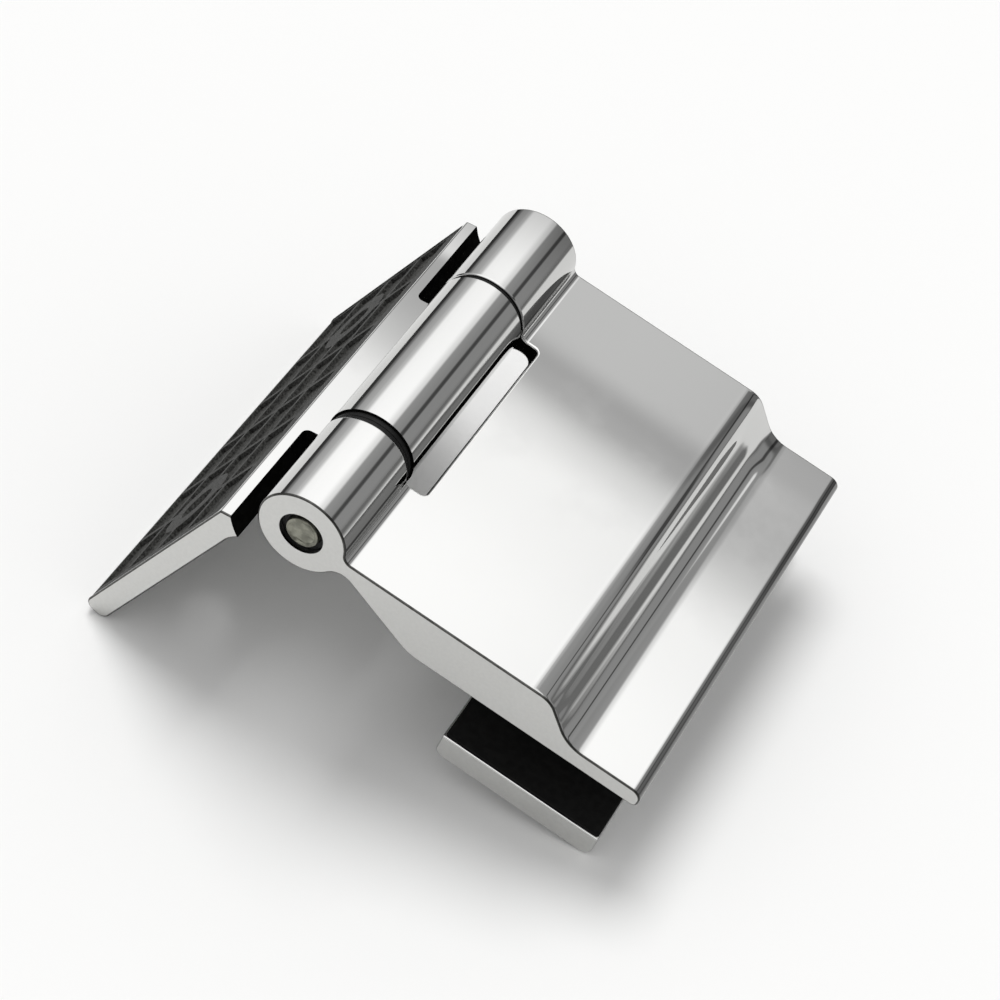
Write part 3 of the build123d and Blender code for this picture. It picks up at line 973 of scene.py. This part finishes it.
def fixed_section(mesh, sizes, leaf):
    """Outline of the fixed leaf: knuckle, web with a slanted flank, and plate."""
    fixing = -sizes.drop
    inner_face = fixing + leaf.plate
    corner = spot(leaf.start, fixing)
    flank, flank_knuckle, flank_line = blend_to_knuckle(
        sizes.knuckle, corner, -leaf.flank_angle, -1, leaf.flank_r
    )
    web, web_knuckle, web_plate = blend_to_knuckle(
        sizes.knuckle, spot(0, inner_face), 0, 1, leaf.web_r
    )
    first = mesh.verts.new(flank_line)
    vert = run_to(mesh, first, corner)
    corners = [(spot(leaf.reach, fixing), leaf.corner), (spot(leaf.reach, inner_face), leaf.foot)]
    vert = rounded_run(mesh, vert, corners, web_plate)
    vert = swing_to(mesh, vert, web, web_knuckle)
    vert = swing_to(mesh, vert, Vector(), flank_knuckle, long_way=True)
    swing_to(mesh, vert, flank, flank_line)


def pad_limits(sizes, leaf, pad):
    """Lowest and highest X of the pad's recess, and half its length."""
    half = sizes.along / 2 + leaf.overhang - pad.rim
    return leaf.start + pad.rim, leaf.reach - pad.rim, half


def pad_ribs(sizes, leaf, pad):
    """Middles of the ribs before each row and each column of pockets, and one past the last."""
    low, high, half = pad_limits(sizes, leaf, pad)
    row = (high - low - pad.inner - pad.outer + pad.rib) / pad.rows
    column = (2 * half - pad.front - pad.rear + pad.rib) / pad.columns
    rows = [low + pad.inner - pad.rib / 2 + i * row for i in range(pad.rows + 1)]
    columns = [pad.front - half - pad.rib / 2 + i * column for i in range(pad.columns + 1)]
    return rows, columns


def wall_screws(sizes, leaf, pad):
    """Places of the two wall screw holes, front first."""
    rows, columns = pad_ribs(sizes, leaf, pad)
    x = rows[pad.rows // 2]
    return [(x, columns[1]), (x, columns[pad.columns - 1])]


class HINGE_OT_fixed_leaf(bpy.types.Operator):
    """Build the fixed leaf with the middle knuckle, the notches and the pad's recess"""

    bl_idname = "hinge.fixed_leaf"
    bl_label = "Fixed Leaf"

    def execute(self, context):
        sizes, leaf, pad = settings("sizes", "fixed_leaf", "pad")
        half = sizes.along / 2 + leaf.overhang
        mesh = bmesh.new()
        fixed_section(mesh, sizes, leaf)
        draw_out(mesh, -half, half)
        break_ends(mesh, half, sizes.soft_edge)
        _, front, rear = slot_limits(sizes)
        far = half + 0.01
        low, high, long = pad_limits(sizes, leaf, pad)
        fixing = -sizes.drop
        floor = fixing + pad.sunk + pad.thick
        inner_face = fixing + leaf.plate
        sink = leaf.sink - leaf.hole
        over = PAST / 2
        tools = [
            clearance(leaf.notch, -far, front, leaf.notch_corner, (front,)),
            clearance(leaf.notch, rear, far, leaf.notch_corner, (rear,)),
            bar(sizes.pin + CLOSE, -half, half),
            slab((low, -long, fixing - PAST), (high, long, floor), leaf.corner),
        ]
        for x, y in wall_screws(sizes, leaf, pad):
            tools += [
                post(leaf.hole, fixing, inner_face + PAST, x, y),
                post(leaf.hole, inner_face - sink, inner_face + over, x, y, leaf.sink + over),
            ]
        mesh = combine(mesh, tools)
        place_piece(
            mesh, "fixed_leaf", "polished", "fixed",
            metal_finishes(chrome_finish("Chrome Fixed Leaf", FIXED_PLACE, 0.038, 0.004, 0.65)),
            plated(half, sizes.soft_edge, 2, leaf.notch,
                   lambda co: not front + KNUCKLE_END < co.y < rear - KNUCKLE_END),
        )
        return {"FINISHED"}


class HINGE_OT_wall_pad(bpy.types.Operator):
    """Mould the rubber pad with its grid of pockets and the rings round its holes"""

    bl_idname = "hinge.wall_pad"
    bl_label = "Wall Pad"

    def execute(self, context):
        sizes, leaf, pad, look = settings("sizes", "fixed_leaf", "pad", "finish")
        low, high, half = pad_limits(sizes, leaf, pad)
        face_z = pad.sunk - sizes.drop
        mesh = slab((low, -half, face_z), (high, half, face_z + pad.thick), leaf.corner)
        rows, columns = pad_ribs(sizes, leaf, pad)
        for normal, middles in (((1, 0, 0), rows), ((0, 1, 0), columns)):
            for at in [middle + side * pad.rib / 2 for middle in middles for side in (-1, 1)]:
                bmesh.ops.bisect_plane(
                    mesh, geom=mesh.verts[:] + mesh.edges[:] + mesh.faces[:], dist=MERGE,
                    plane_co=[at * n for n in normal], plane_no=normal,
                )

        def in_pocket(co):
            return all(
                any(a + pad.rib / 2 < value < b - pad.rib / 2 for a, b in zip(lines, lines[1:]))
                for value, lines in ((co.x, rows), (co.y, columns))
            )

        pockets = [
            f for f in mesh.faces if f.normal.z < -0.9 and in_pocket(f.calc_center_median())
        ]
        made = bmesh.ops.extrude_discrete_faces(mesh, faces=pockets)
        sunk = {v for f in made["faces"] for v in f.verts}
        bmesh.ops.translate(mesh, verts=list(sunk), vec=(0, 0, pad.pocket))
        bmesh.ops.dissolve_limit(
            mesh, angle_limit=math.radians(1), verts=mesh.verts[:], edges=mesh.edges[:]
        )
        places = wall_screws(sizes, leaf, pad)
        back_z = face_z + pad.thick
        rings = [post(pad.ring, face_z, back_z - 1e-4, x, y) for x, y in places]
        mesh = combine(mesh, rings, "UNION")
        mesh = combine(
            mesh, [post(pad.hole, face_z - PAST, back_z + PAST, x, y) for x, y in places]
        )
        round_over(mesh, PAD_EDGE, where=lambda co: co.z < back_z - CLOSE)
        # Painted sheen on the raised ribs and painted shade in the sunk pockets, each with the rubber's fine
        # grain.
        rubber = [
            rubber_finish("Pad Ribs", look.pad_ribs, 0.55, 0.85, 5200.0, 0.6),
            rubber_finish("Pad Pockets", look.pad_pocket_shade, 3.4, 0.9, 5200.0, 1.0),
        ]
        deep = face_z + PAD_EDGE * 1.5
        place_piece(
            mesh, "wall_pad", "moulded", "fixed", rubber,
            lambda f: int(f.calc_center_median().z > deep),
        )
        return {"FINISHED"}


class HINGE_OT_pin_and_bushes(bpy.types.Operator):
    """Turn the hinge pin, the two flanged bushes and the thrust washer"""

    bl_idname = "hinge.pin_and_bushes"
    bl_label = "Pin and Bushes"

    def execute(self, context):
        sizes, look = settings("sizes", "finish")
        half = sizes.along / 2
        slot_end, _, _ = slot_limits(sizes)
        plastic = rubber_finish("Bush Plastic", look.bush, 0.7, 0.5, 2600.0, 0.3)
        bore = sizes.pin + LOOSE
        inner_y = -slot_end + sizes.flange_t
        for name, side in (("front_bush", 1), ("rear_bush", -1)):
            profile = [
                (bore, -half + sizes.bush_inset), (sizes.bush, -half + sizes.bush_inset),
                (sizes.bush, -slot_end), (sizes.flange, -slot_end),
                (sizes.flange, inner_y), (bore, inner_y),
            ]
            mesh = turned([(radius, y * side) for radius, y in profile])
            round_over(mesh, TURNED_EDGE)
            place_piece(mesh, name, "turned", "door", [plastic])
        start = inner_y + CLOSE
        washer = turned([
            (bore, start), (sizes.flange, start),
            (sizes.flange, start + sizes.flange_t), (bore, start + sizes.flange_t),
        ])
        round_over(washer, TURNED_EDGE)
        place_piece(washer, "thrust_washer", "turned", "door", [plastic])
        pin = bar(sizes.pin, -half + sizes.pin_inset, half - sizes.pin_inset)
        round_over(pin, PIN_EDGE)
        ends = [f for f in pin.faces if abs(f.normal.y) > 0.9 and len(f.verts) > 4]
        for step in SAWN_RINGS:
            bmesh.ops.inset_region(pin, faces=ends, thickness=step)
        for vert in pin.verts:
            if math.hypot(vert.co.x, vert.co.z) < sizes.pin - SAWN_MARGIN:
                rough = noise.noise(vert.co * SAWN_GRAIN) * SAWN_DEPTH
                slope = SAWN_SLOPE * (vert.co.x + vert.co.z)
                vert.co.y -= math.copysign(1, vert.co.y) * (SAWN_DEPTH + rough + slope)
        steel = grained_finish("Pin Steel", look.steel, 0.6, 1.0, 0.38, 1500.0, 0.8)
        place_piece(pin, "hinge_pin", "sawn", "fixed", [steel])
        grub = frame["nodes"]["pin_grub_screw"].data
        grub.materials.clear()
        grub.materials.append(screw_steel())
        return {"FINISHED"}


def clamp_section(mesh, start, end, low, high, corner):
    """Outline of the clamp plate, with rounded lower edges."""
    first = mesh.verts.new(spot(start, high))
    vert = rounded_run(mesh, first, [(spot(start, low), corner), (spot(end, low), corner)],
                       spot(end, high))
    mesh.edges.new((vert, first))


class HINGE_OT_clamp_plate(bpy.types.Operator):
    """Build the clamp plate, a shallow tray that holds the lower gasket"""

    bl_idname = "hinge.clamp_plate"
    bl_label = "Clamp Plate"

    def execute(self, context):
        sizes, clamp = settings("sizes", "clamp")
        half = sizes.along / 2
        top = -sizes.drop - clamp.gap
        low = top - clamp.thick
        end = clamp.start + clamp.wide
        mesh = bmesh.new()
        clamp_section(mesh, clamp.start, end, low, top, clamp.corner)
        draw_out(mesh, -half, half)
        break_ends(mesh, half, sizes.soft_edge)
        tools = [
            slab((clamp.start + clamp.rim, clamp.rim - half, top - clamp.pocket),
                 (end - clamp.rim, half - clamp.rim, top + PAST), clamp.pocket_corner)
        ]
        head = clamp.head + LOOSE
        x = clamp.from_axis
        for y in screw_places(sizes, clamp):
            tools += [
                post(clamp.hole, low - PAST, top, x, y),
                post(head + PAST, low - PAST, low + head - clamp.screw, x, y, clamp.screw),
            ]
        mesh = combine(mesh, tools)
        round_over(mesh, TRAY_EDGE, where=lambda co: co.z > top - NEAR)
        place_piece(
            mesh, "clamp_plate", "tray", "clamp",
            metal_finishes(chrome_finish("Chrome Clamp", DOOR_PLACE)),
            plated(half, sizes.soft_edge, 0),
        )
        return {"FINISHED"}


class HINGE_OT_gaskets(bpy.types.Operator):
    """Cut the two glass gaskets with the holes round the clamp screws"""

    bl_idname = "hinge.gaskets"
    bl_label = "Glass Gaskets"

    def execute(self, context):
        sizes, clamp, look = settings("sizes", "clamp", "finish")
        half = sizes.along / 2
        top = -sizes.drop - clamp.gap
        end = clamp.start + clamp.wide
        rubber = rubber_finish("Gasket Rubber", look.gasket, 1.8, 0.85, 1700.0, 0.4)
        upper = -sizes.drop + clamp.upper_seat
        for name, body, inset, corner, low, high, hole in (
            ("clamp_gasket", "clamp", clamp.rim, clamp.pocket_corner,
             top - clamp.pocket, top + clamp.proud, clamp.hole),
            ("leaf_gasket", "door", clamp.upper_inset, clamp.upper_corner,
             upper - clamp.upper_thick, upper, clamp.sleeve + 1e-4),
        ):
            side = inset + CLOSE
            mesh = slab((clamp.start + side, side - half, low), (end - side, half - side, high),
                        corner)
            mesh = combine(mesh, [
                post(hole, low - PAST, high + PAST, clamp.from_axis, y)
                for y in screw_places(sizes, clamp)
            ])
            round_over(mesh, RUBBER_EDGE, 3)
            place_piece(mesh, name, "cut", body, [rubber])
        return {"FINISHED"}


def thread_ridge(radius, pitch, low, high):
    """Helical ridge of a thread that rises along Z."""
    mesh = bmesh.new()
    core = radius - THREAD_DEPTH * pitch
    section = ((core, 0), (radius, 0.3), (radius, 0.42), (core, 0.72))
    face = mesh.faces.new([mesh.verts.new((x, 0, low + up * pitch)) for x, up in section])
    turns = (high - low) / pitch - 1
    steps = int(turns * 20)
    made = bmesh.ops.spin(
        mesh, geom=[face], cent=(0, 0, 0), axis=(0, 0, 1), dvec=(0, 0, pitch * turns / steps),
        angle=2 * math.pi * turns, steps=steps,
    )
    last = [f for f in made["geom_last"] if isinstance(f, bmesh.types.BMFace)]
    if not last:
        raise RuntimeError("the thread's last face is missing")
    bmesh.ops.recalc_face_normals(mesh, faces=mesh.faces[:])
    return mesh


class HINGE_OT_clamp_screws(bpy.types.Operator):
    """Make the countersunk clamp screws with their threads, and the glass sleeves"""

    bl_idname = "hinge.clamp_screws"
    bl_label = "Clamp Screws"

    def execute(self, context):
        sizes, clamp, look = settings("sizes", "clamp", "finish")
        low = -sizes.drop - clamp.gap - clamp.thick
        head = clamp.head - clamp.screw
        core = clamp.screw - THREAD_DEPTH * clamp.pitch + CLOSE
        steel = screw_steel()
        plastic = rubber_finish("Sleeve Plastic", look.sleeve, 0.9, 0.5, 2600.0, 0.2)
        names = (("front", "front_screw"), ("rear", "rear_screw"))
        for (side, body), y in zip(names, screw_places(sizes, clamp)):
            mesh = turned([
                (0, 0), (clamp.head - 1e-4, 0), (clamp.head, 1e-4), (clamp.screw, head),
                (clamp.screw, head + 0.001), (core, head + 0.0014),
                (core, clamp.screw_long - 4e-4), (core - 4e-4, clamp.screw_long),
                (0, clamp.screw_long),
            ], 64)
            stand_up(mesh, (0, 0, 0))
            flats = clamp.key / math.sqrt(3)
            mesh = combine(mesh, [post(flats, -PAST, clamp.key_deep, 0, 0, steps=6)])
            ridge = thread_ridge(clamp.screw, clamp.pitch, head + 0.001, clamp.screw_long - 2e-4)
            shape = bpy.data.meshes.new("ridge")
            ridge.to_mesh(shape)
            ridge.free()
            mesh.from_mesh(shape)
            bpy.data.meshes.remove(shape)
            bmesh.ops.translate(mesh, verts=mesh.verts[:], vec=(clamp.from_axis, y, low))
            place_piece(mesh, f"clamp_screw_{side}", "threaded", body, [steel])
            top = -sizes.drop + clamp.upper_seat
            bottom = top - clamp.sleeve_long
            sleeve = turned([
                (clamp.hole, bottom), (clamp.sleeve, bottom),
                (clamp.sleeve, top), (clamp.hole, top),
            ], 64)
            round_over(sleeve, SLEEVE_EDGE)
            stand_up(sleeve, (clamp.from_axis, y, 0))
            place_piece(sleeve, f"glass_sleeve_{side}", "moulded", "door",
                        [plastic])
        return {"FINISHED"}


# The studio


def studio_world(scene):
    """Soft studio surroundings: bands round the hinge axis, plain grey for other rays."""
    world = bpy.data.worlds.new("Studio")
    scene.world = world
    world.use_nodes = True
    tree = world.node_tree
    tree.nodes.clear()
    coords = add_node(tree, "ShaderNodeTexCoord")
    x, y, z = split_place(tree, coords.outputs["Generated"])
    low, high = -math.pi / 2, 3 * math.pi / 2
    turn = calculate(tree, "WRAP", calculate(tree, "ARCTAN2", z, x), high, low)
    bands = ramp_of(
        tree, in_range(tree, turn, low, high, shape="LINEAR"),
        [((degrees + 90) / 360, value) for degrees, value in STUDIO_BANDS],
    )
    depth = ramp_of(tree, calculate(tree, "ABSOLUTE", y), STUDIO_DEPTH)
    mirrored = mixed(tree, 1.0, bands, depth, "MULTIPLY")
    path = add_node(tree, "ShaderNodeLightPath")
    seen = mixed(tree, path.outputs["Is Glossy Ray"], STUDIO_GREY, mirrored)
    shade = add_node(tree, "ShaderNodeBackground", Strength=1.0, Color=seen)
    add_node(tree, "ShaderNodeOutputWorld", Surface=shade.outputs["Background"])


def soft_sun(name, direction, spread, strength):
    """Broad soft light from far away that only lights matte surfaces."""
    data = bpy.data.lights.new(name, "SUN")
    data.angle = math.radians(spread)
    data.energy = strength
    light = bpy.data.objects.new(name, data)
    light.rotation_euler = Vector(direction).to_track_quat("Z", "Y").to_euler()
    light.visible_glossy = False
    bpy.context.scene.collection.objects.link(light)


def dim_in_reflections(tree, shader, color):
    """Painted shade in reflections: polished faces mirror the floor darker towards the right and the front."""
    coords = add_node(tree, "ShaderNodeTexCoord")
    away = add_node(tree, "ShaderNodeVectorMath", operation="DOT_PRODUCT")
    feed(tree, away, 0, coords.outputs["Object"])
    feed(tree, away, 1, FADE_WAY)
    reflection_shade = ramp_of(tree, away.outputs["Value"], FLOOR_REFLECTION_SHADE)
    path = add_node(tree, "ShaderNodeLightPath")
    shaded_tone = mixed(tree, path.outputs["Is Glossy Ray"], (*color, 1), reflection_shade, "MULTIPLY")
    feed(tree, shader, "Base Color", shaded_tone)


class HINGE_OT_studio(bpy.types.Operator):
    """Set up the pale floor, the soft lights and the camera"""

    bl_idname = "hinge.studio"
    bl_label = "Studio"

    def execute(self, context):
        scene = context.scene
        look = scene.hinge_finish
        mesh = bmesh.new()
        bmesh.ops.create_grid(mesh, x_segments=1, y_segments=1, size=FLOOR_REACH)
        data = bpy.data.meshes.new("studio_floor")
        mesh.to_mesh(data)
        mesh.free()
        floor = bpy.data.objects.new("studio_floor", data)
        scene.collection.objects.link(floor)
        paper, tree, shader = start_material("Floor Paper", look.floor, 0.0, 0.9)
        feed(tree, shader, "Specular IOR Level", 0.1)
        dim_in_reflections(tree, shader, look.floor)
        data.materials.append(paper)
        studio_world(scene)
        soft_sun("key_light", SUN_FROM, SUN_SPREAD, SUN_STRENGTH)
        camera_data = bpy.data.cameras.new("camera")
        camera_data.sensor_width = CAMERA_SENSOR
        camera_data.lens = CAMERA_LENS
        camera_data.clip_start = 0.01
        camera = bpy.data.objects.new("camera", camera_data)
        right = Vector(CAMERA_RIGHT).normalized()
        back = Vector(CAMERA_BACK).normalized()
        turn = Matrix((right, back.cross(right), back)).transposed().to_4x4()
        camera.matrix_world = Matrix.Translation(CAMERA_PLACE) @ turn
        scene.collection.objects.link(camera)
        scene.camera = camera
        scene.view_settings.view_transform = "Standard"
        return {"FINISHED"}


class HINGE_PT_panel(bpy.types.Panel):
    """Buttons that build the hinge and its studio"""

    bl_label = "Shower Door Hinge"
    bl_space_type = "VIEW_3D"
    bl_region_type = "UI"
    bl_category = "Hinge"

    def draw(self, context):
        layout = self.layout
        for operator in OPERATORS:
            layout.operator(operator.bl_idname)
        for label, group in GROUPS.items():
            box = layout.box()
            box.label(text=group.__doc__)
            for name in group.__annotations__:
                box.prop(getattr(context.scene, label), name)


GROUPS = {
    "hinge_sizes": HingeSizes,
    "hinge_door_leaf": DoorLeafSizes,
    "hinge_fixed_leaf": FixedLeafSizes,
    "hinge_pad": PadSizes,
    "hinge_clamp": ClampSizes,
    "hinge_finish": HingeFinish,
}
OPERATORS = (
    HINGE_OT_studio,
    HINGE_OT_door_leaf,
    HINGE_OT_fixed_leaf,
    HINGE_OT_wall_pad,
    HINGE_OT_pin_and_bushes,
    HINGE_OT_clamp_plate,
    HINGE_OT_gaskets,
    HINGE_OT_clamp_screws,
)


def register():
    """Registers the property groups, operators and panel."""
    for label, group in GROUPS.items():
        bpy.utils.register_class(group)
        setattr(bpy.types.Scene, label, PointerProperty(type=group))
    for item in (*OPERATORS, HINGE_PT_panel):
        bpy.utils.register_class(item)


def unregister():
    """Removes what register added."""
    for item in (HINGE_PT_panel, *reversed(OPERATORS)):
        bpy.utils.unregister_class(item)
    for label, group in reversed(GROUPS.items()):
        delattr(bpy.types.Scene, label)
        bpy.utils.unregister_class(group)


def main():
    register()
    bpy.ops.hinge.studio()
    bpy.ops.hinge.door_leaf()
    bpy.ops.hinge.fixed_leaf()
    bpy.ops.hinge.wall_pad()
    bpy.ops.hinge.pin_and_bushes()
    bpy.ops.hinge.clamp_plate()
    bpy.ops.hinge.gaskets()
    bpy.ops.hinge.clamp_screws()


if __name__ == "__main__":
    main()
